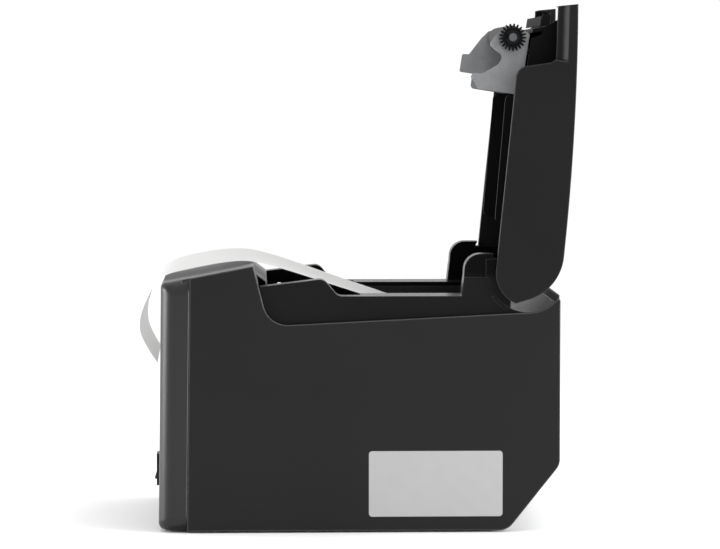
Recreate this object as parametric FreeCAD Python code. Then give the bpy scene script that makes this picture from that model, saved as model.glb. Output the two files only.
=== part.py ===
import FreeCAD, Part
import math
import os

V = FreeCAD.Vector
os.makedirs("parts", exist_ok=True)

# Sizes in millimetres. X runs from the front (-) to the rear (+), Z is up,
# and Y = 0 is the middle plane. Z = 0 is the table.

# Case
body_width = 140.0
body_depth = 199.0
wall = 2.5
thin = 2.2
foot_height = 1.0
seam_gap = 0.3
half = body_width / 2
front_x = -body_depth / 2
rear_x = body_depth / 2
inside = half - wall

# Cover hinge and the angle at which the cover stands open
hinge_x = rear_x - 15.9
hinge_z = 128.4
open_angle = 98.9
pin_radius = 2.0
scoop_radius = 19.3
nose_radius = 16.1

# Recessed wall under the cover skirt
skirt = 2.8
skirt_gap = 0.4
inset_half = half - skirt - skirt_gap
skirt_inside = half - skirt

# Paper
paper_width = 79.5
paper_half = paper_width / 2
paper_thickness = 0.2
roll_radius = 40.0
core_radius = 8.7
roll_x = 22.5
bucket_clear = 3.0
bucket_radius = roll_radius + bucket_clear
roll_lift = 0.3
bucket_z = 70.0
roll_z = bucket_z - bucket_clear + roll_lift

# Widths of the layers from the paper outwards
liner_inner = paper_half + 1.45
liner_wall = 1.6
bucket_half = liner_inner + liner_wall + 0.8
bucket_wall = 2.2
sheet = 1.2
cheek_inner = paper_half + 2.65
cheek_outer = cheek_inner + sheet
frame_inner = cheek_outer + 0.6
frame_outer = frame_inner + sheet
hook_inner = frame_outer + 0.3
hook_outer = hook_inner + 1.0
gear_inner = hook_outer + 0.5
gear_width = 4.0
gear_outer = gear_inner + gear_width
second_inner = gear_outer + 0.4
second_width = 3.0
gear_room = 1.4
mech_half = second_inner + second_width + gear_room
end_wall_inner = 48.0
prong_inner = end_wall_inner + 2.0

# Platen, given where it lies with the cover shut
platen_x = -30.6
platen_z = 103.8
roller_radius = 6.0
roller_half = paper_half + 1.25
shaft_radius = 2.0
bush_radius = 4.0
fit = 0.1

# Gears
platen_teeth = 21
drive_teeth = 30
small_teeth = 14
large_teeth = 36
pinion_teeth = 12
module_a = 0.6
module_b = 0.5

# Front block
seam_top_x = front_x + 15.9
seam_bottom_x = front_x + 14.3
deck_front_x = front_x + 1.5
deck_front_z = 123.6
deck_rear_x = -52.3
deck_rear_z = 132.3
rim_front_x = -44.7
rim_front_z = 102.7
rim_rear_z = hinge_z - scoop_radius
ledge_z = 117.2

# Rear
chamfer_x = rear_x - 25.9
chamfer_z = 33.4
shelf_z = 44.0
panel_x = rear_x - 21.5


def rounded(points):
    """Closed outline in the XZ plane from (x, z) or (x, z, corner radius)."""
    count = len(points)
    corners = []
    for i in range(count):
        here = V(points[i][0], 0, points[i][1])
        radius = points[i][2] if len(points[i]) > 2 else 0
        if radius == 0:
            corners.append((here, None, here))
            continue
        before = V(points[i - 1][0], 0, points[i - 1][1])
        after = V(points[(i + 1) % count][0], 0, points[(i + 1) % count][1])
        u = (before - here).normalize()
        w = (after - here).normalize()
        bend = u.getAngle(w) / 2
        centre = here + (u + w).normalize() * (radius / math.sin(bend))
        middle = centre + (here - centre).normalize() * radius
        run = radius / math.tan(bend)
        corners.append((here + u * run, middle, here + w * run))
    edges = []
    for i in range(count):
        start, middle, end = corners[i]
        if middle is not None:
            edges.append(Part.Arc(start, middle, end).toShape())
        following = corners[(i + 1) % count][0]
        if end.distanceToPoint(following) > 1e-6:
            edges.append(Part.makeLine(end, following))
    return Part.Wire(edges)


def offset(points, shifts):
    """Move each side of an outline inwards by its own amount."""
    count = len(points)
    area = 0.0
    for i in range(count):
        a = points[i]
        b = points[(i + 1) % count]
        area += a[0] * b[1] - b[0] * a[1]
    sign = 1 if area > 0 else -1
    sides = []
    for i in range(count):
        a = points[i]
        b = points[(i + 1) % count]
        dx = b[0] - a[0]
        dz = b[1] - a[1]
        length = math.hypot(dx, dz)
        shift = shifts[i] if isinstance(shifts, list) else shifts
        nx = -dz / length * sign
        nz = dx / length * sign
        sides.append((a[0] + nx * shift, a[1] + nz * shift, dx, dz, shift))
    moved = []
    for i in range(count):
        x1, z1, dx1, dz1, s1 = sides[i - 1]
        x2, z2, dx2, dz2, s2 = sides[i]
        cross = dx1 * dz2 - dz1 * dx2
        t = ((x2 - x1) * dz2 - (z2 - z1) * dx2) / cross
        radius = points[i][2] if len(points[i]) > 2 else 0
        if radius:
            turn = 1 if cross * sign > 0 else -1
            radius = max(0, radius - turn * s1)
        moved.append((x1 + dx1 * t, z1 + dz1 * t, radius))
    return moved


def prism(points, y0, y1):
    face = Part.Face(rounded(points))
    face.translate(V(0, y0, 0))
    return face.extrude(V(0, y1 - y0, 0))


def ribbon(points, thickness, y0, y1):
    """Sheet of even thickness along an open line with rounded bends."""
    sides = []
    for side in (-1, 1):
        shift = side * thickness / 2
        line = []
        last = len(points) - 1
        for i in range(last + 1):
            here = V(points[i][0], 0, points[i][1])
            if 0 < i < last:
                u = (V(points[i - 1][0], 0, points[i - 1][1]) - here).normalize()
                w = (V(points[i + 1][0], 0, points[i + 1][1]) - here).normalize()
                bend = u.getAngle(w) / 2
                radius = points[i][2]
                centre = here + (u + w).normalize() * (radius / math.sin(bend))
                run = radius / math.tan(bend)
                inner = (V(0, 1, 0).cross(u)).dot(w)
                grow = radius + (shift if inner > 0 else -shift)
                for spot in (here + u * run, here, here + w * run):
                    line.append(centre + (spot - centre).normalize() * grow)
            else:
                other = points[1] if i == 0 else points[last - 1]
                along = (V(other[0], 0, other[1]) - here).normalize()
                if i == last:
                    along = along * -1
                line.append(here + V(0, 1, 0).cross(along) * shift)
        sides.append(line)
    edges = []
    for line in sides:
        spot = 0
        while spot < len(line) - 1:
            if spot % 3 == 1:
                edges.append(Part.Arc(line[spot], line[spot + 1], line[spot + 2]).toShape())
                spot += 2
            else:
                edges.append(Part.makeLine(line[spot], line[spot + 1]))
                spot += 1
    edges.append(Part.makeLine(sides[0][0], sides[1][0]))
    edges.append(Part.makeLine(sides[0][-1], sides[1][-1]))
    face = Part.Face(Part.Wire(Part.__sortEdges__(edges)))
    face.translate(V(0, y0, 0))
    return face.extrude(V(0, y1 - y0, 0))


def box(x0, x1, y0, y1, z0, z1):
    return Part.makeBox(x1 - x0, y1 - y0, z1 - z0, V(x0, y0, z0))


def rod(x, z, radius, y0, y1):
    return Part.makeCylinder(radius, y1 - y0, V(x, y0, z), V(0, 1, 0))


def post(x, y, radius, z0, z1):
    return Part.makeCylinder(radius, z1 - z0, V(x, y, z0), V(0, 0, 1))


def mirrored(shape):
    return shape.mirror(V(0, 0, 0), V(0, 1, 0))


def join(shapes):
    return shapes[0].multiFuse(shapes[1:]).removeSplitter()


def both(shape):
    return join([shape, mirrored(shape)])


def pair(shape):
    return Part.makeCompound([shape, mirrored(shape)])


def save(shape, name):
    shape.exportStep("parts/" + name + ".step")


def opened(shape):
    """Turn a cover piece from the shut place to the open one."""
    turned = shape.copy()
    turned.rotate(V(hinge_x, 0, hinge_z), V(0, 1, 0), open_angle)
    return turned


def deck_z(x):
    slope = (deck_rear_z - deck_front_z) / (deck_rear_x - deck_front_x)
    return deck_front_z + slope * (x - deck_front_x)


def gear(x, z, teeth, module, y0, y1, bore, phase, root=1.2):
    """Spur gear; phase is the angle of one tooth in degrees from +X towards +Z."""
    pitch_radius = teeth * module / 2
    step = 2 * math.pi / teeth
    rows = [
        (pitch_radius - root * module, 0.31),
        (pitch_radius, 0.215),
        (pitch_radius + 0.95 * module, 0.11),
    ]
    spots = []
    for i in range(teeth):
        middle = math.radians(phase) + i * step
        for radius, share in rows:
            spots.append((radius, middle - share * step))
        for radius, share in reversed(rows):
            spots.append((radius, middle + share * step))
    line = [(x + r * math.cos(a), z + r * math.sin(a)) for r, a in spots]
    return prism(line, y0, y1).cut(rod(x, z, bore, y0 - 1, y1 + 1))


hinge_hole = rod(hinge_x, hinge_z, scoop_radius, -half - 1, half + 1)

# Main case: side walls, rear wall with the stop ridge, shelf over the sockets
side_line = [
    (seam_bottom_x, foot_height),
    (chamfer_x, foot_height, 8),
    (rear_x, chamfer_z, 8),
    (rear_x, hinge_z - 12, 1),
    (hinge_x, rim_rear_z),
    (rim_front_x, rim_front_z, 12),
    (deck_rear_x, deck_rear_z),
    (seam_top_x, deck_z(seam_top_x)),
]
rear_in = rear_x - wall
stop_line = [
    (rear_in, hinge_z - 16.4),
    (rear_in, hinge_z - 10.6),
    (hinge_x + 10, hinge_z - 7.8),
    (hinge_x + 12.9, hinge_z - 4.6, 0.6),
    (rear_x, hinge_z - 6.7, 0.6),
    (rear_x, hinge_z - 16.4),
]
stop_half = inset_half - 2.8
boss_spots = [(front_x + 23.5, half - 9.0), (rear_x - 35.0, half - 8.5)]
screw_z = 14.0
case = [both(prism(side_line, -half, -inside))]
case.append(box(rear_in, rear_x, -inside, inside, shelf_z, hinge_z - 14.2))
case.append(box(panel_x + 0.8, rear_in, -inside, inside, shelf_z, shelf_z + 2))
case.append(prism(stop_line, -stop_half, stop_half).cut(rod(hinge_x, hinge_z, 13.4, -half, half)))
plate_top = foot_height + wall
for x, y in boss_spots:
    tower = box(x - 4, x + 4, y - 4, inside, plate_top + 0.2, screw_z)
    case.append(both(tower.cut(post(x, y, 1.6, 0, screw_z - 1))))
main_case = join(case).cut(hinge_hole)
save(main_case, "main_case")

# Front panel: rounded front, sloping top with the paper exit at its rear edge
front_line = [
    (front_x, foot_height, 3.5),
    (seam_bottom_x - seam_gap, foot_height),
    (seam_top_x - seam_gap, deck_z(seam_top_x - seam_gap)),
    (deck_front_x, deck_front_z, 2.5),
]


def front_block(line, wide, corner):
    block = prism(line, -wide, wide)
    edges = []
    for edge in block.Edges:
        ends = [v.Point for v in edge.Vertexes]
        upright = len(ends) == 2 and abs(ends[0].z - ends[1].z) > 90
        if upright and max(p.x for p in ends) < seam_bottom_x - 5:
            edges.append(edge)
    return block.makeFillet(corner, edges)


inner_line = offset(front_line, [-20, -20, wall, wall])
panel = front_block(front_line, half, 8)
panel = panel.cut(front_block(inner_line, inside, 8 - wall))
top_half = inside - seam_gap
lip_x = deck_rear_x + 0.2
rear_slope = (rim_front_x - deck_rear_x) / (deck_rear_z - rim_front_z)
top_line = [
    (seam_top_x - 4, deck_z(seam_top_x - 4)),
    (lip_x, deck_z(lip_x)),
    (lip_x + 9 * rear_slope, deck_z(lip_x) - 9),
    (lip_x + 9 * rear_slope - thin, deck_z(lip_x) - 9),
    (lip_x - thin, deck_z(lip_x) - wall - 0.4),
    (seam_top_x - 4, deck_z(seam_top_x - 4) - wall),
]
panel = join([panel, prism(top_line, -top_half, top_half)])
exit_half = end_wall_inner - 1
panel = panel.cut(box(deck_rear_x - 0.6, 0, -exit_half, exit_half, 100, 140))
under_deck = deck_z(deck_rear_x - 4) - wall - 0.1
panel = panel.cut(box(deck_rear_x - 4, 0, -exit_half, exit_half, 100, under_deck))

# Power switch hole, feed button hole and lens holes
switch_y = -45.0
switch_z = 29.6
switch_high = 12.8
switch_wide = 8.4
panel = panel.cut(
    box(front_x - 1, front_x + 5, switch_y - 5.2, switch_y + 5.2, switch_z - 7.1, switch_z + 7.1)
)
deck_angle = math.degrees(math.atan2(deck_rear_z - deck_front_z, deck_rear_x - deck_front_x))
button_x = -65.0
button_y = half - 12.0
button_long = 11.0
button_wide = 8.0
button_gap = 0.35
lens_step = 6.5
lens_first = front_x + 11.5
lens_radius = 1.5


def on_deck(shape, x):
    """Lay a piece that was drawn about the origin on the sloping top at x."""
    laid = shape.copy()
    laid.rotate(V(0, 0, 0), V(0, 1, 0), -deck_angle)
    laid.translate(V(x, button_y, deck_z(x)))
    return laid


def pad(long, wide, z0, z1, corner):
    block = box(-long / 2, long / 2, -wide / 2, wide / 2, z0, z1)
    uprights = [e for e in block.Edges if abs(e.Vertexes[0].Z - e.Vertexes[-1].Z) > 0.1]
    return block.makeFillet(corner, uprights)


panel = panel.cut(on_deck(pad(button_long, button_wide, -8, 3, 2), button_x))
lens_spots = [lens_first + i * lens_step for i in range(3)]
for x in lens_spots:
    panel = panel.cut(on_deck(post(0, 0, lens_radius + 0.1, -8, 3), x))
save(panel, "front_panel")

# Feed button, lenses, switch and the small board under them
press = 1.0
cap = pad(button_long - 2 * button_gap, button_wide - 2 * button_gap, -wall - 1, 1.2, 1.6)
crown = [e for e in cap.Edges if e.BoundBox.ZMin > 1.1]
cap = cap.makeFillet(0.5, crown)
flange = pad(button_long + 2, button_wide + 2, -wall - 2, -wall - 0.4 - press * 0.2, 2)
stem = post(0, 0, 1.6, -wall - 3.4, -wall - 1)
save(on_deck(join([cap, flange, stem]), button_x), "feed_button")
lens_parts = []
for x in lens_spots:
    lens_parts.append(on_deck(join([post(0, 0, lens_radius, -4.6, 0.2), post(0, 0, 2.4, -5.4, -2.8)]), x))
save(Part.makeCompound(lens_parts), "status_lenses")
board_down = -10.0
lower = -wall - 3.4 - press - 0.3
tact = join([
    box(-3, 3, -3, 3, board_down, lower - 0.6),
    post(0, 0, 1.7, lower - 0.7, lower),
])
save(on_deck(tact, button_x), "button_switch")
board_mid = (lens_spots[0] + button_x) / 2
board_long = button_x - lens_spots[0] + 10
strip = pad(board_long, 14, board_down - 1.6, board_down, 1.5)
for x in lens_spots:
    light = post((x - board_mid) / math.cos(math.radians(deck_angle)), 0, 1.4, board_down - 0.1, -5.6)
    strip = strip.fuse(light)
for x in (-board_long / 2 + 3, board_long / 2 - 3):
    strip = strip.fuse(box(x - 1.5, x + 1.5, 5.5, 7, board_down - 0.1, -wall - 0.4))
save(on_deck(strip, board_mid), "control_board")

# Power switch: housing with bezel, and the rocker in it
bezel_x = front_x - 1.2
housing = box(bezel_x, front_x + 0.9, switch_y - 6.2, switch_y + 6.2, switch_z - 7.9, switch_z + 7.9)
housing = housing.cut(
    box(front_x + 0.1, front_x + 9, switch_y - 60, switch_y - 5.0, switch_z - 60, switch_z + 60)
)
housing = housing.cut(
    box(front_x + 0.1, front_x + 9, switch_y + 5.0, switch_y + 60, switch_z - 60, switch_z + 60)
)
housing = housing.cut(
    box(front_x + 0.1, front_x + 9, switch_y - 60, switch_y + 60, switch_z + 6.9, switch_z + 60)
)
housing = housing.cut(
    box(front_x + 0.1, front_x + 9, switch_y - 60, switch_y + 60, switch_z - 60, switch_z - 6.9)
)
housing = join([
    housing,
    box(front_x - 0.2, front_x + 14, switch_y - 5.0, switch_y + 5.0, switch_z - 6.9, switch_z + 6.9),
    box(front_x + 13.5, front_x + 20, switch_y - 3, switch_y - 2.2, switch_z - 5, switch_z - 1),
    box(front_x + 13.5, front_x + 20, switch_y + 2.2, switch_y + 3, switch_z - 5, switch_z - 1),
])
housing = housing.cut(
    box(bezel_x - 1, front_x + 12, switch_y - switch_wide / 2, switch_y + switch_wide / 2,
        switch_z - switch_high / 2, switch_z + switch_high / 2)
)
rocker_x = front_x + 3.0
rocker_pin = 1.2
housing = housing.cut(rod(rocker_x, switch_z, rocker_pin + fit / 2, switch_y - 4.8, switch_y + 4.8))
save(housing, "power_switch_body")
tilt = 8.0
rise = 5.5
face_x = front_x - 1.7
rocker_line = [
    (face_x, switch_z - rise, 0.6),
    (face_x + 0.9, switch_z),
    (face_x, switch_z + rise, 0.6),
    (rocker_x - 1.5, switch_z + rise),
    (rocker_x + 4, switch_z + 2, 1.5),
    (rocker_x + 4, switch_z - 2, 1.5),
    (rocker_x - 1.5, switch_z - rise),
]
side_gap = 0.2
rocker = prism(rocker_line, switch_y - switch_wide / 2 + side_gap, switch_y + switch_wide / 2 - side_gap)
rocker = join([rocker, rod(rocker_x, switch_z, rocker_pin, switch_y - 4.7, switch_y + 4.7)])
rocker.rotate(V(rocker_x, 0, switch_z), V(0, 1, 0), tilt)
save(rocker, "power_rocker")

# Base plate with screw seats, board posts and air slots; feet and screws
base_x0 = front_x + wall + 0.5
base_x1 = chamfer_x - 0.6
base = box(base_x0, base_x1, -inside + 0.5, inside - 0.5, foot_height, plate_top)
uprights = [e for e in base.Edges if e.Length < 3]
base = base.makeFillet(5, uprights)
board_z = plate_top + 3.5
board_edge = half - 8.0
supply_edge = half - 10.0
board_rear = rear_x - 41.5
supply_rear = rear_x - 45.5
main_posts = [(-26.0, 4.0 - board_edge), (-26.0, -12.0)]
main_posts += [(board_rear - 6.0, 6.0 - board_edge), (board_rear - 6.0, -12.0)]
supply_posts = [(-26.0, 12.0), (-26.0, supply_edge - 4.0)]
supply_posts += [(supply_rear - 4.0, 12.0), (supply_rear - 4.0, supply_edge - 8.0)]
pillars = [post(x, y, 3, plate_top - 0.5, board_z) for x, y in main_posts + supply_posts]
base = join([base] + pillars)
for x, y in main_posts + supply_posts:
    base = base.cut(post(x, y, 1.3, plate_top, board_z + 1))
for i in range(8):
    base = base.cut(box(-14 + i * 8, -11 + i * 8, 20, 44, 0, plate_top + 1))
for x, y in boss_spots:
    for side in (-1, 1):
        base = base.cut(post(x, side * y, 1.8, 0, 9))
        base = base.cut(post(x, side * y, 3.3, 0, foot_height + 1.4))
save(base, "base_plate")
feet_spots = [(rear_x - 45.5, half - 16.0), (front_x + 15.5, half - 18.0)]
feet = []
for x, y in feet_spots:
    pad_shape = post(x, y, 5.5, 0, foot_height)
    feet.append(pair(pad_shape.makeFillet(0.4, [e for e in pad_shape.Edges if e.BoundBox.ZMax < 0.1])))
save(Part.makeCompound(feet), "rubber_feet")
screws = []
for x, y in boss_spots:
    screw_head = post(x, y, 3, foot_height + 0.2, foot_height + 1.3)
    screw = join([screw_head, post(x, y, 1.5, foot_height + 1.2, screw_z - 2)])
    screw = screw.cut(post(x, y, 1.2, foot_height, foot_height + 0.9))
    screws.append(pair(screw))
save(Part.makeCompound(screws), "case_screws")

# Inner frame: recessed side boxes, ears with hinge blocks, trough behind the roll
box_front = rim_front_x - 4.6
box_floor = rim_front_z - 6.7
box_rear = hinge_x - scoop_radius - 0.3
hump_line = [
    (box_front, box_floor),
    (box_front, 121.9),
    (-17.5, 125.8, 5),
    (-10.5, ledge_z, 5),
    (box_rear, ledge_z),
    (box_rear, box_floor),
]
mech_rear = 1.0
side_box = prism(hump_line, -inset_half, -bucket_half)
hollow = offset(hump_line, [thin, thin, thin, thin, thin, -20])
side_box = side_box.cut(prism(hollow, -inset_half + thin, -bucket_half + 1))
side_box = side_box.cut(box(box_front - 1, mech_rear, -mech_half, 0, box_floor - 1, 140))
inner_wall = prism(hump_line, -mech_half - thin, -mech_half)
inner_wall = inner_wall.cut(box(mech_rear, box_rear + 9, -half, half, 0, 140))
step_wall = box(mech_rear, mech_rear + thin, -mech_half - thin, -bucket_half - bucket_wall - 0.2,
                box_floor, ledge_z - thin + 0.2)
ear_inner = inset_half - 12.8
ear_outer = inset_half
ear_front = 50.7
ear_top = 138.0
ear_line = [
    (ear_front - 0.6, ledge_z - 5),
    (ear_front, ledge_z),
    (ear_front + 1.3, ledge_z + 10.4),
    (ear_front + 1.9, ear_top, 8),
    (hinge_x - 13, ear_top),
    (hinge_x - 13, ledge_z - 5),
]
ear = prism(ear_line, -ear_outer, -ear_inner).cut(
    box(0, 90, -half, -ear_outer + 1.5, ledge_z + 9.3, 150)
)
ear_space = offset(ear_line, [thin, thin, thin, thin, thin, -9])
ear_hollow = prism(ear_space, -ear_outer + 1.5 + thin, -ear_inner - thin)
ear = ear.cut(ear_hollow.cut(rod(hinge_x, hinge_z, scoop_radius + thin, -half, half)))
ear = ear.cut(hinge_hole)
knuckle = 7.0
block_out = ear_outer - 0.4
block_in = ear_inner + 3
arm_x = hinge_x - scoop_radius - 1.5
hinge_arm = join([
    box(arm_x, hinge_x, -block_out, -block_in, hinge_z - knuckle, hinge_z + knuckle),
    rod(hinge_x, hinge_z, knuckle, -block_out, -block_in),
])
hinge_arm = hinge_arm.cut(rod(hinge_x, hinge_z, pin_radius + 0.05, -block_out - 1, -block_in - 1))
hinge_web = box(arm_x, hinge_x - 8.5, -block_out, -block_in, hinge_z - scoop_radius - 1, hinge_z)
hinge_web = hinge_web.common(rod(hinge_x, hinge_z, scoop_radius + 0.5, -half, half))
cheek = box(arm_x - 2, hinge_x + 6, -inset_half, -inset_half + thin, rim_rear_z - 5, ledge_z).cut(hinge_hole)
near_box = join([side_box, inner_wall, step_wall, ear, hinge_arm, hinge_web, cheek])
near_box = near_box.cut(
    box(mech_rear - 1, box_rear + 9, -bucket_half - bucket_wall - 0.2, 0, box_floor - 1, ledge_z - thin)
)
trough_x0 = roll_x + bucket_radius + bucket_wall
trough = rod(hinge_x, hinge_z, scoop_radius + thin, -inside + seam_gap, inside - seam_gap).cut(hinge_hole)
trough = trough.common(box(trough_x0 - 2, rear_in - 0.2, -half, half, 90, ledge_z))
rear_wall = box(trough_x0 - bucket_wall + 0.2, trough_x0 + 0.2, -inset_half, inset_half, ledge_z - 9, ledge_z)
rear_wall = rear_wall.cut(hinge_hole)
frame_shape = join([near_box, mirrored(near_box), trough, rear_wall])

# Slot in the far side for the release tab
latch_x = -29.0
latch_z = 84.0
tab_x = -34.0
tab_z = 112.0
tab_size = 8.0
frame_shape = frame_shape.cut(
    prism([(tab_x - 5.5, tab_z - 5.5, 2), (tab_x + 11.5, tab_z - 5.5, 2),
           (tab_x + 11.5, tab_z + 5.7, 2), (tab_x - 5.5, tab_z + 5.7, 2)], mech_half - 1, half)
)
save(frame_shape, "inner_frame")
pin_shape = rod(hinge_x, hinge_z, pin_radius, -half + 1.0, -block_in - 1.5)
save(pair(pin_shape), "hinge_pins")

# Roll bucket
bucket_top = ledge_z - thin - 0.1
outer_r = bucket_radius + bucket_wall
block = join([
    rod(roll_x, bucket_z, outer_r, -bucket_half - bucket_wall, bucket_half + bucket_wall),
    box(roll_x - outer_r, roll_x + outer_r, -bucket_half - bucket_wall, bucket_half + bucket_wall,
        bucket_z, bucket_top),
])
space = join([
    rod(roll_x, bucket_z, bucket_radius, -bucket_half, bucket_half),
    box(roll_x - bucket_radius, roll_x + bucket_radius, -bucket_half, bucket_half, bucket_z, bucket_top + 1),
])
bucket = block.cut(space)
bucket = bucket.cut(box(roll_x - outer_r - 1, mech_rear, -half, half, latch_z, bucket_top + 1))
bucket = bucket.cut(box(roll_x, roll_x + outer_r + 1, -half, half, ledge_z - 9.2, bucket_top + 1).common(
    box(roll_x + bucket_radius - 0.1, roll_x + outer_r + 1, -half, half, 0, 200)))
bucket = bucket.cut(box(roll_x - outer_r - 1, roll_x + outer_r + 1, -half, half, bucket_top, bucket_top + 5))
bucket = bucket.removeSplitter()
save(bucket, "roll_bucket")

# Paper roll on its core
roll = rod(roll_x, roll_z, roll_radius, -paper_half, paper_half)
roll = roll.cut(rod(roll_x, roll_z, core_radius + 0.05, -paper_half - 1, paper_half + 1))
save(roll, "paper_roll")
core = rod(roll_x, roll_z, core_radius, -paper_half + 0.2, paper_half - 0.2)
core = core.cut(rod(roll_x, roll_z, core_radius - 2.4, -paper_half, paper_half))
save(core, "roll_core")

# Free paper from the roll over the front
leave = math.radians(18.4)
web_r = roll_radius + 0.15 + paper_thickness / 2
web_line = [
    (roll_x + web_r * math.sin(leave), roll_z + web_r * math.cos(leave)),
    (deck_rear_x + 0.3, deck_rear_z + 2.1, 40),
    (deck_front_x + 1.0, deck_front_z + 3.6, 11),
    (front_x - 11.4, deck_front_z - 22.1, 16),
    (front_x - 0.7, deck_front_z - 41.8),
]
save(ribbon(web_line, paper_thickness, -paper_half, paper_half), "paper_web")

# Steel frame of the print mechanism
frame_top = 112.0
frame_back = platen_x + 6.4
lean_angle = 12.2
lean = math.radians(lean_angle)
plate_line = [
    (-68, 52, 4),
    (-64, 46),
    (-64, plate_top + 0.1),
    (-56, plate_top + 0.1),
    (-56, 40, 4),
    (-44, 40, 4),
    (-44, plate_top + 0.1),
    (-36, plate_top + 0.1),
    (-36, latch_z - 8),
    (frame_back, latch_z + 6),
    (frame_back, platen_z + 5, 1.5),
    (-39, frame_top),
    (-60, frame_top, 3),
    (-68, 92, 4),
]
plate = prism(plate_line, -frame_outer, -frame_inner)
slot = join([
    rod(platen_x, platen_z, bush_radius + fit, -half, 0),
    prism([
        (platen_x - (bush_radius + fit) * math.cos(lean), platen_z - (bush_radius + fit) * math.sin(lean)),
        (platen_x + (bush_radius + fit) * math.cos(lean), platen_z + (bush_radius + fit) * math.sin(lean)),
        (platen_x + 6.2 - 20 * math.sin(lean), platen_z + 20 * math.cos(lean)),
        (platen_x - 6.2 - 20 * math.sin(lean), platen_z + 20 * math.cos(lean)),
    ], -half, 0),
])
plate = plate.cut(slot)
head_face = platen_x - roller_radius - 0.3


def leaned(shape):
    """Lean a head piece so that its face lies along the path of the closing roller."""
    turned = shape.copy()
    turned.rotate(V(head_face, 0, platen_z), V(0, 1, 0), -lean_angle)
    return turned


def lean_point(x, z):
    dx = x - head_face
    dz = z - platen_z
    return (
        head_face + dx * math.cos(lean) - dz * math.sin(lean),
        platen_z + dx * math.sin(lean) + dz * math.cos(lean),
    )


sink_foot = platen_z - 15.8
head_pin_x, head_pin_z = lean_point(head_face - 5.7, sink_foot)
plate = plate.cut(rod(head_pin_x, head_pin_z, 1.55, -half, 0))
plate = plate.cut(rod(latch_x, latch_z, shaft_radius + fit, -half, 0))
cross_x = -50.0
cross = join([
    box(cross_x, cross_x + sheet, -frame_inner - 0.2, frame_inner + 0.2, 86, 108),
    box(cross_x, cross_x + 3.5, -frame_inner - 0.2, frame_inner + 0.2, 86, 86 + sheet),
])
mech = join([plate, mirrored(plate), cross])

# Gear train beside the frame
drive_x = -43.6
drive_z = 93.0
mesh = math.atan2(platen_z - drive_z, platen_x - drive_x)
reach_a = (small_teeth + drive_teeth) * module_a / 2
turn_a = math.radians(238.6)
second_x = drive_x + reach_a * math.cos(turn_a)
second_z = drive_z + reach_a * math.sin(turn_a)
reach_b = (large_teeth + pinion_teeth) * module_b / 2
motor_x = second_x
motor_z = second_z - reach_b
post_radius = 1.5
save(
    Part.makeCompound([
        rod(drive_x, drive_z, post_radius, -gear_outer - 0.6, -frame_outer + 0.6),
        rod(second_x, second_z, post_radius, -second_inner - second_width - 0.6, -frame_outer + 0.6),
    ]),
    "gear_posts",
)
for x, z in ((drive_x, drive_z), (second_x, second_z)):
    mech = mech.cut(rod(x, z, post_radius + 0.05, -half, -frame_inner + 1))
motor_hole = 5.2
mech = mech.cut(rod(motor_x, motor_z, motor_hole, -half, -frame_inner + 1))
save(mech, "mech_frame")
bore = post_radius + 0.05
drive = gear(drive_x, drive_z, drive_teeth, module_a, -gear_outer, -gear_inner, bore, 0)
hub = rod(drive_x, drive_z, 3.2, -gear_inner - 0.1, -frame_outer - 0.2).cut(
    rod(drive_x, drive_z, bore, -half, 0))
save(join([drive, hub]), "drive_gear")


def facing(teeth_a, angle_a, phase_a, teeth_b):
    """Phase of gear b so that a gap of it meets a tooth of gear a."""
    step_a = 360.0 / teeth_a
    step_b = 360.0 / teeth_b
    past = (angle_a - phase_a) / step_a
    past = past - math.floor(past)
    return angle_a + 180 + (past + 0.5) * step_b


small_phase = facing(drive_teeth, math.degrees(turn_a), 0, small_teeth)
small = gear(second_x, second_z, small_teeth, module_a, -gear_outer - 0.6, -gear_inner, bore, small_phase)
second_outer = second_inner + second_width
large = gear(second_x, second_z, large_teeth, module_b, -second_outer, -second_inner, bore, 0)
save(join([small, large]), "reduction_gear")
pinion_phase = facing(large_teeth, -90, 0, pinion_teeth)
pinion = gear(motor_x, motor_z, pinion_teeth, module_b, -second_outer, -second_inner, 0.9, pinion_phase)
spindle = rod(motor_x, motor_z, 0.98, -second_inner - second_width - 0.4, -frame_inner - 0.1)
save(join([pinion, spindle]), "motor_pinion")
motor_front = -frame_inner + 0.15
can = rod(motor_x, motor_z, 15, motor_front, motor_front + 27)
can = can.makeFillet(1.5, [e for e in can.Edges if e.BoundBox.YMin > motor_front + 26])
ears_line = [
    (motor_x - 21, motor_z - 3.5, 3.4),
    (motor_x + 14, motor_z - 3.5, 3.4),
    (motor_x + 14, motor_z + 3.5, 3.4),
    (motor_x - 21, motor_z + 3.5, 3.4),
]
lugs = prism(ears_line, motor_front, motor_front + 1)
collar = rod(motor_x, motor_z, motor_hole - 0.2, motor_front - sheet, motor_front + 0.5)
motor = join([can, lugs, collar]).cut(rod(motor_x, motor_z, 1.1, -half, motor_front + 4))
save(motor, "feed_motor")

# Print head on a finned heat sink that tips on a pin, with a leaf spring behind it
head_half = roller_half
head_thick = 1.1
sink_line = [
    (head_face - head_thick, sink_foot - 1),
    (head_face - head_thick, 113.0, 0.6),
    (head_face - head_thick - 3.4, 113.0, 0.6),
    (head_face - head_thick - 3.4, sink_foot - 1),
]
sink = prism(sink_line, -head_half, head_half)
for i in range(4):
    z = 97.5 + i * 4
    sink = sink.cut(box(head_face - head_thick - 4, head_face - head_thick - 1.9, -half, half, z, z + 2))
sink = join([leaned(sink), rod(head_pin_x, head_pin_z, 2.9, -head_half, head_half)])
sink = sink.cut(rod(head_pin_x, head_pin_z, 1.55, -half, half))
save(sink, "heat_sink")
save(leaned(box(head_face - head_thick, head_face, -head_half, head_half, 94, 112)), "print_head")
save(rod(head_pin_x, head_pin_z, 1.5, -frame_outer, frame_outer), "head_pin")
leaf_x = cross_x + sheet
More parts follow.
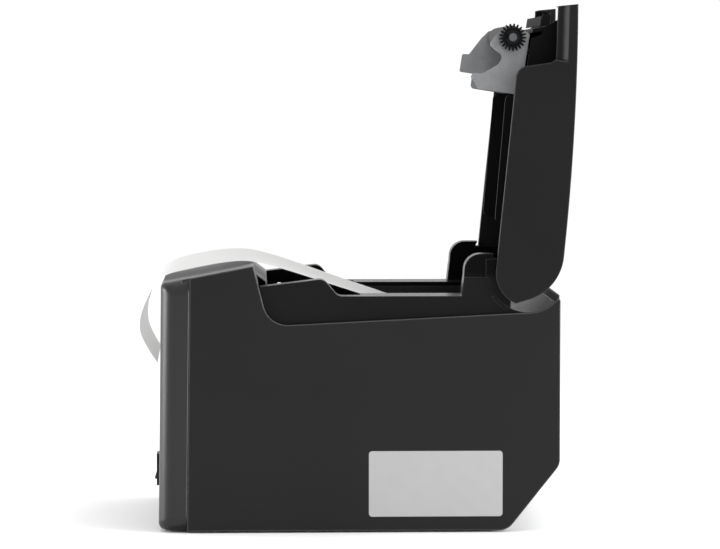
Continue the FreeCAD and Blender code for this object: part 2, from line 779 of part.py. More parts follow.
leaf_line = [
    (leaf_x + 0.35, 89.5),
    (leaf_x + 0.35, 98.0, 2),
    lean_point(head_face - head_thick - 3.8, 106.5) + (1.5,),
    lean_point(head_face - head_thick - 4.4, 110.5),
]
save(ribbon(leaf_line, 0.4, -9, 9), "head_spring")

# Cutter: housing under the sloping top, blade in its slot, drive box, exit guide
blade_z = 115.6
blade_thick = 1.0
blade_x = deck_rear_x - 1.0
slide_gap = 0.4
slot_end = blade_x - 24.2
cut_half = frame_inner - 0.3
cutter_line = [
    (front_x + 7, frame_top + 0.3),
    (blade_x - 0.2, frame_top + 0.3),
    (blade_x - 0.2, blade_z - slide_gap),
    (slot_end, blade_z - slide_gap),
    (slot_end, blade_z + blade_thick + slide_gap),
    (blade_x - 0.2, blade_z + blade_thick + slide_gap),
    (blade_x - 0.2, blade_z + blade_thick + slide_gap + 1.6),
    (front_x + 7, blade_z + blade_thick + slide_gap + 1.6, 1.5),
]
cutter = prism(cutter_line, -cut_half, cut_half)
drive_case = pad(20, 30, 0, 16, 3)
drive_case.translate(V(front_x + 18, 22, frame_top + 0.3 - 15.5))
cutter = join([cutter, drive_case])
save(cutter, "cutter_housing")
blade_back = blade_x - 19
blade_half = cut_half - 2
blade_plan = [
    V(blade_back, -blade_half, blade_z),
    V(blade_back, blade_half, blade_z),
    V(blade_x - 1, blade_half, blade_z),
    V(blade_x - 5, 0, blade_z),
    V(blade_x - 1, -blade_half, blade_z),
    V(blade_back, -blade_half, blade_z),
]
blade = Part.Face(Part.makePolygon(blade_plan)).extrude(V(0, 0, blade_thick))
save(blade, "moving_blade")
guide_line = [
    (deck_rear_x - 6, deck_z(deck_rear_x - 6) - wall - 1.3),
    (deck_rear_x - 0.4, deck_z(deck_rear_x - 0.4) - wall - 1.3, 1.5),
    (-45.8, 123.4, 1.5),
    (-45.8, 119.6),
]
guide_half = exit_half - 0.6
save(ribbon(guide_line, 0.8, -guide_half, guide_half), "exit_guide")

# Latch: shaft with a hook at each side and the release tab on the far side
hook_line = [
    (latch_x - 4, latch_z - 4, 3.5),
    (latch_x + 4, latch_z - 4, 3.5),
    (platen_x + 8.6, platen_z - 7),
    (platen_x + 8.6, platen_z + 7.6, 2),
    (platen_x + 4.6, platen_z + 6.6, 0.8),
    (platen_x + 4.3, platen_z + bush_radius - 0.6, 0.4),
    (platen_x + 5.6, platen_z + bush_radius - 1.2, 1),
    (platen_x + 5.6, platen_z - 5),
    (latch_x - 4, latch_z + 3),
]
hook = prism(hook_line, -hook_outer, -hook_inner)
arm_in = prong_inner + 0.4
arm_line = [
    (latch_x - 4, latch_z - 4, 3.5),
    (latch_x + 4, latch_z - 4, 3.5),
    (latch_x + 4, latch_z + 8),
    (tab_x + 4, tab_z - 2),
    (tab_x + 4, tab_z + 4, 2),
    (tab_x - 4, tab_z + 4, 2),
    (tab_x - 4, tab_z - 6),
]
lever_arm = prism(arm_line, arm_in, arm_in + 2.5)
tab_line = [
    (tab_x - tab_size / 2, tab_z - tab_size / 2, 2),
    (tab_x + tab_size / 2, tab_z - tab_size / 2, 2),
    (tab_x + tab_size / 2, tab_z + tab_size / 2, 2),
    (tab_x - tab_size / 2, tab_z + tab_size / 2, 2),
]
tab = prism(tab_line, arm_in, half - 0.5)
latch_rod = rod(latch_x, latch_z, shaft_radius, -hook_outer, arm_in + 2.5)
save(join([hook, mirrored(hook), latch_rod]), "latch_hooks")
release = join([lever_arm, tab]).cut(rod(latch_x, latch_z, shaft_radius + 0.02, 0, half))
save(release, "release_lever")

# Boards and supply under the bucket
thick = 1.6
main_board = box(-30, board_rear, -board_edge, -6, board_z, board_z + thick)
supply = box(-30, supply_rear, 8, supply_edge, board_z, board_z + thick)
for x, y in main_posts:
    main_board = main_board.cut(post(x, y, 1.5, 0, 20))
for x, y in supply_posts:
    supply = supply.cut(post(x, y, 1.5, 0, 20))
save(main_board, "main_board")
save(supply, "supply_board")
top_z = board_z + thick
chips = [box(-6, 8, -44, -30, top_z, top_z + 1.4), box(16, 34, -38, -30, top_z, top_z + 1.2)]
chips += [box(-20, -10, -30, -25, top_z, top_z + 1.6), box(14, 24, -22, -17, top_z, top_z + 1.6)]
save(Part.makeCompound(chips), "board_chips")
core_block = pad(24, 26, top_z, top_z + 11, 1)
core_block.translate(V(-6, 32, 0))
winding = pad(14, 30, top_z + 1, top_z + 10, 4)
winding.translate(V(-6, 32, 0))
save(join([core_block, winding]), "transformer")
tank_r = 5.5
tank = Part.makeCylinder(tank_r, 24, V(20, 34, top_z + tank_r), V(1, 0, 0))
tank = tank.makeFillet(0.8, [e for e in tank.Edges if e.BoundBox.XMin > 43])
save(tank, "capacitor")
plate_fins = [box(14, 40, 12, 13.5, top_z, top_z + 11)]
for i in range(5):
    plate_fins.append(box(15 + i * 5.5, 16.2 + i * 5.5, 13, 19, top_z, top_z + 11))
save(join(plate_fins), "supply_heat_sink")

# Connector panel with its sockets at the lower rear
panel_line = [
    (50, plate_top + 0.55),
    (chamfer_x - 2, plate_top + 0.55, 1.5),
    (panel_x, 12.0, 1.5),
    (panel_x, shelf_z - 0.4),
]
panel_half = inside - 1.0
plate_sheet = 0.9
back = ribbon(panel_line, plate_sheet, -panel_half, panel_half)
back = back.cut(box(40, chamfer_x - 4, -panel_half - 1, -20, 0, 8)).cut(box(40, chamfer_x - 4, 20, half, 0, 8))
back = back.cut(box(40, 60, -half, half, 0, 8))
inlet_y = 38.0
usb_y = 6.0
lan_y = -18.0
drawer_y = -42.0
socket_z = 26.0
out_x = panel_x + plate_sheet / 2
for y, wide, high in ((inlet_y, 27.2, 20.2), (usb_y, 12.4, 11.4), (lan_y, 16.4, 13.9), (drawer_y, 13.6, 13.6)):
    low, top = socket_z - high / 2, socket_z + high / 2
    back = back.cut(box(panel_x - 3, panel_x + 3, y - wide / 2, y + wide / 2, low, top))
save(back, "connector_panel")


def socket(y, wide, high, deep, hole_wide, hole_high, hole_deep, out):
    low, top = socket_z - high / 2, socket_z + high / 2
    shell = box(out_x - deep, out_x + out, y - wide / 2, y + wide / 2, low, top)
    return shell.cut(
        box(out_x + out - hole_deep, out_x + out + 1, y - hole_wide / 2, y + hole_wide / 2,
            socket_z - hole_high / 2, socket_z + hole_high / 2)
    )


inlet = socket(inlet_y, 27, 20, 16, 23.6, 16.4, 14, 2)
rim_plate = box(out_x + 0.05, out_x + 2, inlet_y - 19, inlet_y + 19, socket_z - 11.5, socket_z + 11.5)
rim_edges = [e for e in rim_plate.Edges if abs(e.Vertexes[0].X - e.Vertexes[-1].X) > 1]
rim_plate = rim_plate.makeFillet(4, rim_edges)
rim_plate = rim_plate.cut(
    box(out_x - 1, out_x + 3, inlet_y - 11.8, inlet_y + 11.8, socket_z - 8.2, socket_z + 8.2))
for y in (inlet_y - 15.8, inlet_y + 15.8):
    rim_plate = rim_plate.cut(Part.makeCylinder(1.6, 9, V(out_x - 1, y, socket_z), V(1, 0, 0)))
save(join([inlet, rim_plate]), "mains_inlet")
pins = []
for y, z in ((inlet_y - 7, -2), (inlet_y + 7, -2), (inlet_y, 2)):
    pins.append(box(out_x - 11.95, out_x - 1, y - 1, y + 1, socket_z + z - 2.5, socket_z + z + 2.5))
save(Part.makeCompound(pins), "inlet_pins")
save(
    join([
        socket(usb_y, 12, 11, 15, 8.6, 7.8, 9, 0.6),
        box(out_x - 9, out_x - 1, usb_y - 2.8, usb_y + 2.8, socket_z - 1.6, socket_z + 1.6),
    ]),
    "data_socket",
)
save(socket(lan_y, 16, 13.5, 17, 11.8, 8.2, 13, 0.6), "network_socket")
save(socket(drawer_y, 13.2, 13.2, 15, 9.8, 7.2, 11, 0.6), "drawer_socket")

# Cover, drawn shut and turned open: outer shell with two prongs at the front
tip_x = deck_rear_x + 1.0
tip_z = deck_rear_z - 0.6
crest_x = hinge_x - 11.6
crest_z = hinge_z + 16.0
lip_z = 122.3
skin = 2.5


def cover_wire(drop, front):
    """Side outline of the cover, its upper side moved in by drop."""
    a = V(front, 0, tip_z - drop)
    b = V(10, 0, 139.6 - drop)
    c = V(crest_x, 0, crest_z - drop)
    d = V(hinge_x + 3.2 - drop * 0.3, 0, hinge_z + 12.6 - drop)
    e = V(hinge_x + 12.6 - drop * 0.8, 0, hinge_z + 2.5 - drop * 0.6)
    return [Part.Arc(a, b, c).toShape(), Part.Arc(c, d, e).toShape()], a, e


arcs, nose_a, nose_e = cover_wire(0, tip_x)
swing = [math.radians(a) for a in (-14, -52, -90)]
rim_arc = [V(hinge_x + nose_radius * math.cos(a), 0, hinge_z + nose_radius * math.sin(a)) for a in swing]
skirt_rear = rim_arc[2]
outline = arcs + [Part.makeLine(nose_e, rim_arc[0]), Part.Arc(*rim_arc).toShape()]
skirt_front_x = -15.9
skirt_front_z = 106.9
lower_line = [
    (skirt_rear.x, skirt_rear.z),
    (skirt_front_x, skirt_front_z, 6),
    (-21.6, 125.5, 4),
    (tip_x + 2.4, lip_z, 0.8),
    (nose_a.x, nose_a.z),
]


def open_line(points):
    """Edges along a line of points with rounded corners, not closed."""
    whole = rounded(points + [(points[-1][0], points[-1][1] + 500), (points[0][0], points[0][1] + 500)])
    return whole.Edges[: len(whole.Edges) - 3]


outline += open_line(lower_line)
cover_face = Part.Face(Part.Wire(Part.__sortEdges__(outline)))
cover_face.translate(V(0, -half, 0))
shell = cover_face.extrude(V(0, body_width, 0))
inner_arcs, in_a, in_e = cover_wire(skin, tip_x + skin)
inner_edges = inner_arcs + [
    Part.makeLine(in_e, V(in_e.x, 0, 60)),
    Part.makeLine(V(in_e.x, 0, 60), V(in_a.x, 0, 60)),
    Part.makeLine(V(in_a.x, 0, 60), in_a),
]
cavity_face = Part.Face(Part.Wire(inner_edges))
cavity = cavity_face.extrude(V(0, 2 * skirt_inside, 0))
cavity.translate(V(0, -skirt_inside, 0))
prong_wall = inset_half - 2.6
hump_slope = (125.8 - 121.9) / (-17.5 - box_front)
keep_x = -22.4
keep_line = [
    (tip_x - 5, 121.9 + hump_slope * (tip_x - 5 - box_front) + 0.4),
    (keep_x, 121.9 + hump_slope * (keep_x - box_front) + 0.4),
    (keep_x, 150),
    (tip_x - 5, 150),
]
keep = both(prism(keep_line, -half, -prong_wall))
shell = shell.cut(cavity.cut(keep))

# The rear end between the skirts stops short; a curved wall rolls past the stop ridge
shell = shell.cut(box(hinge_x, rear_x + 5, -skirt_inside, skirt_inside, 90, hinge_z + 2.4))
roll_out = 12.6
roll_in = roll_out - 2.2
rolling = rod(hinge_x, hinge_z, roll_out, -ear_inner - 2, ear_inner + 2)
rolling = rolling.cut(rod(hinge_x, hinge_z, roll_in, -half, half))
rolling = rolling.common(box(hinge_x - 1.2, rear_x, -half, half, 100, hinge_z + 3))
shell = join([shell, rolling])

# Notch between the prongs for the paper, with rounded ends
notch_x = -40.0
notch = box(tip_x - 5, notch_x, -prong_inner, prong_inner, 90, 150)
inner_corners = [
    e for e in notch.Edges
    if abs(e.Vertexes[0].X - notch_x) < 0.01 and abs(e.Vertexes[-1].X - notch_x) < 0.01 and e.Length > 50
]
notch = notch.makeFillet(2.5, [e for e in inner_corners if abs(e.Vertexes[0].Z - e.Vertexes[-1].Z) > 9])
shell = shell.cut(notch)

# Stepped lower edge of each prong
band_rise = 0.13
band = [
    V(tip_x - 2, -inset_half, lip_z - 4),
    V(tip_x - 2, -inset_half, lip_z + 2.5),
    V(tip_x - 2, -half - 0.01, lip_z + 4.8),
    V(tip_x - 2, -half - 2, lip_z + 4.8),
    V(tip_x - 2, -half - 2, lip_z - 4),
    V(tip_x - 2, -inset_half, lip_z - 4),
]
run = -22.5 - (tip_x - 2)
wedge = Part.Face(Part.makePolygon(band)).extrude(V(run, 0, run * band_rise))
shell = shell.cut(wedge).cut(mirrored(wedge))
shell = shell.cut(rod(hinge_x, hinge_z, pin_radius + fit, -half + 0.8, half - 0.8))
save(opened(shell), "cover_shell")

# Liner inside the cover: top plate, roll bay walls, curved end walls, mounting ribs
liner_gap = 0.2
liner_rear = hinge_x - 21.6


def under_skin(x, drop):
    """Height of the underside of the skin at x."""
    arc = Part.Arc(V(tip_x, 0, tip_z), V(10, 0, 139.6), V(crest_x, 0, crest_z)).toShape()
    line = Part.makeLine(V(x, 0, 0), V(x, 0, 300))
    return line.distToShape(arc)[1][0][0].z - drop


stations = [notch_x + 0.8, -8.0, 26.0, liner_rear]
skin_low = skin + liner_gap + 0.3
upper = [(x, under_skin(x, skin_low)) for x in stations]
plate_top_line = upper + [(x, z - 2) for x, z in reversed(upper)]
liner_plate = prism(plate_top_line, -end_wall_inner, end_wall_inner)
bay_line = [
    (-2.4, upper[1][1] - 1),
    (-2.4, 105.4, 3),
    (liner_rear, 110.0, 3),
    (liner_rear, upper[3][1] - 1),
    (26.0, upper[2][1] - 1),
]
bay_wall = prism(bay_line, -liner_inner - liner_wall, -liner_inner)
end_line = [
    (-47.5, under_skin(-47.5, skin_low)),
    (-47.9, 125.3),
    (-43.0, 125.0, 2),
    (-38.0, 118.6, 5),
    (-34.4, 118.0, 2),
    (-31.6, 113.2, 1),
    (-4.0, 113.2, 2),
    (-4.0, upper[1][1] - 1.2),
]
end_wall = prism(end_line, -prong_inner + 0.4, -end_wall_inner)
rib_a = box(-27.0, -25.0, -end_wall_inner - 0.5, end_wall_inner + 0.5, 112.9, under_skin(-27.0, skin_low) - 0.5)
rib_b = box(-8.0, -6.0, -end_wall_inner - 0.5, end_wall_inner + 0.5, 112.9, under_skin(-8.0, skin_low) - 0.5)
nose_wall_line = [
    (notch_x + 0.8, under_skin(notch_x + 0.8, skin_low)),
    (notch_x + 0.8, 121.0, 2),
    (-36.4, 113.2),
    (-34.4, 113.2),
    (notch_x + 2.8, 121.6, 2),
    (notch_x + 2.8, under_skin(notch_x + 2.8, skin_low)),
]
nose_wall = prism(nose_wall_line, -end_wall_inner - 0.5, end_wall_inner + 0.5)
across = join([
    box(10.0, 11.6, -liner_inner, liner_inner, 122, under_skin(10, skin_low) - 1),
    box(36.0, 37.6, -liner_inner, liner_inner, 122, under_skin(36, skin_low) - 1),
])
walls = [bay_wall, mirrored(bay_wall), end_wall, mirrored(end_wall)]
liner = join([liner_plate, *walls, rib_a, rib_b, nose_wall, across])
save(opened(liner), "cover_liner")

# Platen frame: bridge plate with two cheeks, stub pins, lower flange
near_cheek = [
    (-33.6, 112.6, 1),
    (-2.8, 112.6, 2),
    (-2.8, 91.0),
    (-6.0, 89.0, 1.5),
    (-8.0, 85.9, 1.5),
    (-10.2, 88.0),
    (-10.4, 92.0, 3),
    (-16.5, 99.5, 3),
    (-21.0, 101.2, 2.5),
    (-23.4, 96.0, 1),
    (-25.4, 93.2, 1.5),
    (-29.5, 95.4, 1),
    (-35.4, 100.0, 3),
    (-36.0, 107.0, 3),
]
far_cheek = [
    (-33.6, 112.6, 1),
    (-2.8, 112.6, 2),
    (-2.8, 93.0, 2),
    (-10.5, 92.9),
    (-10.5, 86.0, 1),
    (-20.0, 86.0, 1),
    (-20.4, 89.6, 1),
    (-29.8, 94.8, 1),
    (-34.0, 98.0, 2),
    (-36.0, 107.0, 3),
]
bridge_z = 112.6
cheek_a = prism(near_cheek, -cheek_outer, -cheek_inner)
cheek_b = prism(far_cheek, cheek_inner, cheek_outer)
bridge = box(-31.0, -4.8, -cheek_outer, cheek_outer, bridge_z - sheet, bridge_z)
bridge = bridge.cut(box(-21, -14, -24, 24, 100, 120))
flange_line = [(-12.5, 101.5), (-4.4, 101.5, 1.5), (-4.4, 109.0)]
lower_flange = ribbon(flange_line, sheet, -cheek_inner - 0.2, cheek_inner + 0.2)
pin_spots = [(-8.0, 88.0), (-25.4, 95.2)]
stubs = [rod(x, z, 1.1, -cheek_outer - 0.4, -cheek_inner) for x, z in pin_spots]
carrier = join([cheek_a, cheek_b, bridge, lower_flange] + stubs)
seat_radius = bush_radius - 1
carrier = carrier.cut(rod(platen_x, platen_z, seat_radius + 0.05, -half, half))
save(opened(carrier), "platen_frame")

# Platen: bushings, shaft, rubber roller, gear and clips
bush = join([
    rod(platen_x, platen_z, seat_radius, -cheek_outer - 0.2, -cheek_inner + 0.3),
    rod(platen_x, platen_z, bush_radius, -hook_outer - 0.1, -cheek_outer - 0.1),
])
bush = bush.cut(rod(platen_x, platen_z, shaft_radius + 0.06, -half, 0))
save(opened(pair(bush)), "platen_bushings")
roller = rod(platen_x, platen_z, roller_radius, -roller_half, roller_half)
roller = roller.cut(rod(platen_x, platen_z, shaft_radius + 0.02, -half, half))
save(opened(roller), "platen_roller")
groove_y = -gear_outer - 0.7
shaft = rod(platen_x, platen_z, shaft_radius, groove_y - 1.0, hook_outer + 1.4)
save(opened(shaft), "platen_shaft")
platen_phase = facing(drive_teeth, math.degrees(mesh), 0, platen_teeth)
wheel_bore = shaft_radius + 0.02
wheel = gear(platen_x, platen_z, platen_teeth, module_a, -gear_outer, -gear_inner, wheel_bore, platen_phase, 2.2)
save(opened(wheel), "platen_gear")
ring_a = rod(platen_x, platen_z, 3.4, groove_y, groove_y + 0.6)
ring_b = rod(platen_x, platen_z, 3.4, hook_outer + 0.3, hook_outer + 0.9)
clips = []
for ring in (ring_a, ring_b):
    ring = ring.cut(rod(platen_x, platen_z, shaft_radius + 0.02, -half, half))
    clips.append(ring.cut(box(platen_x - 1.2, platen_x + 1.2, -half, half, platen_z - 5, platen_z)))
save(opened(Part.makeCompound(clips)), "retaining_clips")

# Fixed blade at the front of the liner
fixed_z = blade_z + blade_thick + slide_gap
fixed_line = [
    (-43.4, fixed_z),
    (notch_x + 1.6, fixed_z),
    (notch_x + 0.6, fixed_z + 1.2),
    (-42.6, fixed_z + 1.2),
]
save(opened(prism(fixed_line, -paper_half - 3, paper_half + 3)), "fixed_blade")

# Screws that hold the platen frame to the liner
fixings = []
for x in (-26.0, -7.0):
    for y in (-30.0, 30.0):
        head = post(x, y, 2.4, bridge_z - sheet - 1.4, bridge_z - sheet - 0.05)
        head = head.cut(post(x, y, 1.0, bridge_z - sheet - 2, bridge_z - sheet - 0.7))
        fixings.append(head)
save(opened(Part.makeCompound(fixings)), "frame_screws")
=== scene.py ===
# %% [markdown]
# # Receipt printer with its cover open
#
# A countertop thermal printer: a charcoal box with a hinged cover thrown back, a
# roll of paper in its bay and the end of the paper lying over the sloping front.
# The CAD model gives the rigid pieces their shape and place. This lesson gives
# those pieces their finishes, lays the paper as a real sheet, adds a felt lip, a
# finer copy of the spring and a thin plate, and sets up a plain studio. Everything
# is in metres, in the printer's own frame: +X to the rear, -Y to the near side,
# +Z up, and the table at zero.

# %% Load the CAD frame
import math

import bmesh
import bpy
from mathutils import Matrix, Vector


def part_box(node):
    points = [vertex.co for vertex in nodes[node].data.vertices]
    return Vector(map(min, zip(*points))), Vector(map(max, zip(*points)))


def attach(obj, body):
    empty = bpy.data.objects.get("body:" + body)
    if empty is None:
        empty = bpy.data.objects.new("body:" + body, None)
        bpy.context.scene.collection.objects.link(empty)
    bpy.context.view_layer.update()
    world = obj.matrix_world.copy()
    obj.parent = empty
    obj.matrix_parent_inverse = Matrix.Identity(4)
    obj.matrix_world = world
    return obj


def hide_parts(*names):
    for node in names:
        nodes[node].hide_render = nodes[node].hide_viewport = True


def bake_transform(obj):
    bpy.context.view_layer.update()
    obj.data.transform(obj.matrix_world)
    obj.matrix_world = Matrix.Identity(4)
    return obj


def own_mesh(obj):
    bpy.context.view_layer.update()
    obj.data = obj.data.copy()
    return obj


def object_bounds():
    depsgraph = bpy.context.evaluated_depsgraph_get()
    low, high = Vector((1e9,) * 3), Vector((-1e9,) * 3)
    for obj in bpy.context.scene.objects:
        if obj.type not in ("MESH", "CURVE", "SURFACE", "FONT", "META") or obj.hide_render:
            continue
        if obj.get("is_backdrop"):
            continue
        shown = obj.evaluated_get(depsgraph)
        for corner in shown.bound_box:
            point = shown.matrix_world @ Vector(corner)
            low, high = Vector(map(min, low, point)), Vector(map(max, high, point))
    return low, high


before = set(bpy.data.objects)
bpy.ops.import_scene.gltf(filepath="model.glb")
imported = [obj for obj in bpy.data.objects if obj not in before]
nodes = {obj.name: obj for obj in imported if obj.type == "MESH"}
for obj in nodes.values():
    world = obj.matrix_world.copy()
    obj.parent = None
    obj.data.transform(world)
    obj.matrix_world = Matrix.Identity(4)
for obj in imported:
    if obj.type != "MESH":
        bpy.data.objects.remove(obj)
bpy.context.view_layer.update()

# %% [markdown]
# ## Two tools for every finish
#
# Colours are noted as the hex values that a designer would write down, and one
# function turns them into linear light. One small function adds a node, sets it
# and links it, so that a finish reads from top to bottom like a recipe. Textures
# use object coordinates. These are metres here, so a noise scale of 1000 divided
# by a grain in millimetres draws that grain at its true size.

# %% Colour and nodes
def linear(code):
    shares = [int(code[i:i + 2], 16) / 255 for i in (1, 3, 5)]
    return [s / 12.92 if s <= 0.04045 else ((s + 0.055) / 1.055) ** 2.4 for s in shares] + [1.0]


def add(tree, kind, links=None, stops=(), **settings):
    node = tree.nodes.new("ShaderNode" + kind)
    for name, value in settings.items():
        if hasattr(node, name):
            setattr(node, name, value)
        else:
            node.inputs[name.replace("_", " ")].default_value = value
    for name, output in (links or {}).items():
        tree.links.new(output, node.inputs[name])
    for i, (place, code) in enumerate(stops):
        node.color_ramp.elements[i].position = place
        node.color_ramp.elements[i].color = linear(code) if isinstance(code, str) else (code, code, code, 1.0)
    return node


def blank(name):
    material = bpy.data.materials.new(name)
    material.use_nodes = True
    material.node_tree.nodes.clear()
    return material, material.node_tree, add(material.node_tree, "TexCoord").outputs["Object"]


print("half grey in linear light:", round(linear("#808080")[0], 3))

# %% [markdown]
# ## ABS from a spark-eroded mould
#
# The case, the front and the cover are injection-moulded ABS. Sparks eat the
# steel of the mould, which leaves a fine pebble on the plastic, so broad faces
# look satin instead of glossy. The real pebble is about 0.15 mm. It is drawn at
# 0.35 mm here, because anything finer would vanish at this distance. Moulded
# edges are never sharp: a bevelled shading normal gives each one a small radius.
# The pale tint on these edges is a painted highlight that stands in for the light
# the rounded edges catch. It is laid where the bevelled normal leaves the true one.
# ABS has an IOR of about 1.54.
#
# The inner frame is black inside and on its ears, and charcoal like the case on
# its two outer walls. These lie more than 66 mm from the middle and end at a height
# of 127 mm, below the ears.

# %% Moulded ABS
wall_begins, wall_full = 0.0655, 0.0662
wall_top, wall_over = 0.1272, 0.1277


def moulded_abs(name, dark, pale, rough, grain_mm, edge_mm, sheen, edge_highlight=None, wall_tint=None):
    material, tree, place = blank(name)
    cloud = add(tree, "TexNoise", {"Vector": place}, Scale=1000 / 60, Detail=3.0)
    pebble = add(tree, "TexNoise", {"Vector": place}, Scale=1000 / grain_mm, Detail=2.0, Roughness=0.6)
    tint = add(tree, "ValToRGB", {"Fac": cloud.outputs[0]}, [(0.3, dark), (0.7, pale)]).outputs[0]
    if wall_tint:
        axes = add(tree, "SeparateXYZ", {"Vector": place})
        side = add(tree, "Math", {0: axes.outputs["Y"]}, operation="ABSOLUTE")
        outer = add(tree, "ValToRGB", {"Fac": side.outputs[0]}, [(wall_begins, 0.0), (wall_full, 1.0)])
        lower = add(tree, "ValToRGB", {"Fac": axes.outputs["Z"]}, [(wall_top, 1.0), (wall_over, 0.0)])
        wall = add(tree, "Math", {0: outer.outputs[0], 1: lower.outputs[0]}, operation="MULTIPLY")
        shade = add(tree, "ValToRGB", {"Fac": cloud.outputs[0]}, [(0.3, wall_tint[0]), (0.7, wall_tint[1])])
        tint = add(tree, "MixRGB", {0: wall.outputs[0], 1: tint, 2: shade.outputs[0]}).outputs[0]
    edge = add(tree, "Bevel", Radius=edge_mm / 1000, samples=4)
    # painted highlight: edges are tinted pale where the bevelled normal leaves the true one, in place of the
    # light caught by rounded edges
    if edge_highlight:
        facing = add(tree, "NewGeometry").outputs["Normal"]
        turned = add(tree, "VectorMath", {0: edge.outputs[0], 1: facing}, operation="DOT_PRODUCT")
        highlight_rim = add(tree, "ValToRGB", {"Fac": turned.outputs["Value"]}, [(0.80, 1.0), (0.98, 0.0)])
        tint = add(tree, "MixRGB", {0: highlight_rim.outputs[0], 1: tint}, Color2=linear(edge_highlight)).outputs[0]
    gloss = add(tree, "ValToRGB", {"Fac": pebble.outputs[0]}, [(0.3, rough - 0.05), (0.7, rough + 0.05)])
    skin = add(
        tree, "Bump", {"Height": pebble.outputs[0], "Normal": edge.outputs[0]}, Strength=0.5, Distance=0.0001
    )
    links = {"Base Color": tint, "Roughness": gloss.outputs[0], "Normal": skin.outputs[0]}
    shader = add(tree, "BsdfPrincipled", links, IOR=1.54, Specular_IOR_Level=sheen)
    add(tree, "OutputMaterial", {"Surface": shader.outputs[0]})
    return material


# %% The moulded pieces' own plastics
# the last colour given to each ABS is its painted edge highlight
case_abs = moulded_abs("ABS_moulded_charcoal_case", "#0e0e0f", "#111112", 0.40, 0.35, 1.2, 0.18, "#626264")
front_abs = moulded_abs("ABS_moulded_charcoal_front", "#070708", "#09090a", 0.34, 0.35, 0.8, 0.40, "#626264")
cover_abs = moulded_abs("ABS_moulded_charcoal_cover", "#0d0d0e", "#101011", 0.40, 0.35, 0.9, 0.13, "#4a4a4c")
wall_charcoal = ("#141415", "#171718")
frame_abs = moulded_abs(
    "ABS_moulded_black_frame", "#050506", "#070708", 0.24, 0.30, 0.6, 0.04, "#3a3a3c", wall_charcoal
)
liner_abs = moulded_abs("ABS_moulded_black_liner", "#040405", "#060607", 0.45, 0.30, 0.1, 0.08)
tray_abs = moulded_abs("ABS_moulded_black_tray", "#0c0c0d", "#101011", 0.40, 0.30, 0.5, 0.2)
socket_nylon = moulded_abs("nylon_moulded_black_sockets", "#0c0c0d", "#101011", 0.38, 0.25, 0.2, 0.3)
moulded = (case_abs, front_abs, cover_abs, frame_abs, liner_abs, tray_abs, socket_nylon)
print("moulded plastics:", [m.name for m in moulded])

# %% [markdown]
# ## Acetal and acrylic from polished moulds
#
# Gears, bushings, the rocker and the button come from polished moulds. They
# show a tighter reflection, a slow ripple of a few millimetres where the plastic
# shrank, and a little rub from fingers and teeth. The lenses are acrylic with a
# clear surface on top, and the plate on the near side is a polyester film. Acetal
# has an IOR of 1.48 and acrylic 1.49.

# %% Polished plastics
def polished_plastic(name, dark, pale, rough, edge_mm, clear=0.0):
    material, tree, place = blank(name)
    ripple = add(tree, "TexNoise", {"Vector": place}, Scale=1000 / 7, Detail=2.0)
    rub = add(tree, "TexNoise", {"Vector": place}, Scale=1000 / 0.5, Detail=4.0)
    tint = add(tree, "ValToRGB", {"Fac": ripple.outputs[0]}, [(0.3, dark), (0.7, pale)])
    gloss = add(tree, "ValToRGB", {"Fac": rub.outputs[0]}, [(0.3, rough - 0.05), (0.7, rough + 0.06)])
    edge = add(tree, "Bevel", Radius=edge_mm / 1000, samples=4)
    skin = add(
        tree, "Bump", {"Height": ripple.outputs[0], "Normal": edge.outputs[0]}, Strength=0.12, Distance=0.0002
    )
    links = {"Base Color": tint.outputs[0], "Roughness": gloss.outputs[0], "Normal": skin.outputs[0]}
    shader = add(tree, "BsdfPrincipled", links, IOR=1.48, Coat_Weight=clear, Coat_Roughness=0.08)
    add(tree, "OutputMaterial", {"Surface": shader.outputs[0]})
    return material


black_acetal = polished_plastic("acetal_moulded_black", "#0b0b0c", "#101011", 0.30, 0.2)
grey_acetal = polished_plastic("acetal_moulded_grey_gears", "#5e5f61", "#6b6c6e", 0.36, 0.1)
button_abs = polished_plastic("ABS_polished_grey_button", "#2c2d2f", "#343538", 0.36, 0.3)
lens_acrylic = polished_plastic("acrylic_moulded_smoked_lens", "#243029", "#2d3d34", 0.12, 0.2, 0.6)
component_epoxy = polished_plastic("epoxy_moulded_components", "#0c0c0d", "#121213", 0.45, 0.2)
plate_film = polished_plastic("polyester_film_pale_plate", "#999999", "#9b9b9b", 0.40, 0.05)
polished = (black_acetal, grey_acetal, button_abs, lens_acrylic, component_epoxy, plate_film)
print("polished plastics:", [m.name for m in polished])

# %% [markdown]
# ## Zinc-plated, ground and extruded metal
#
# The two mechanism frames are pressed from zinc-plated strip. It keeps the long
# streaks of the rolling mill, and its plating is faintly mottled in patches of a
# few millimetres. Pins and the moving blade are ground, which makes them brighter
# with finer streaks. The platen's shaft is turned and duller. The heat sinks are
# extruded along the width. All streaks run along Y, so the texture is squeezed on
# the other two axes.

# %% Metals
def streaked_metal(name, dark, pale, rough, streak_mm, length_mm, edge_mm):
    material, tree, place = blank(name)
    squeeze = (1000 / streak_mm, 1000 / length_mm, 1000 / streak_mm)
    along = add(tree, "Mapping", {"Vector": place}, Scale=squeeze)
    streak = add(tree, "TexNoise", {"Vector": along.outputs[0]}, Scale=1.0, Detail=3.0)
    mottle = add(tree, "TexNoise", {"Vector": place}, Scale=1000 / 4, Detail=4.0)
    tint = add(tree, "ValToRGB", {"Fac": mottle.outputs[0]}, [(0.3, dark), (0.7, pale)])
    gloss = add(tree, "ValToRGB", {"Fac": streak.outputs[0]}, [(0.3, rough - 0.07), (0.7, rough + 0.08)])
    edge = add(tree, "Bevel", Radius=edge_mm / 1000, samples=4)
    skin = add(
        tree, "Bump", {"Height": streak.outputs[0], "Normal": edge.outputs[0]}, Strength=0.12, Distance=0.00005
    )
    links = {"Base Color": tint.outputs[0], "Roughness": gloss.outputs[0], "Normal": skin.outputs[0]}
    shader = add(tree, "BsdfPrincipled", links, Metallic=1.0)
    add(tree, "OutputMaterial", {"Surface": shader.outputs[0]})
    return material


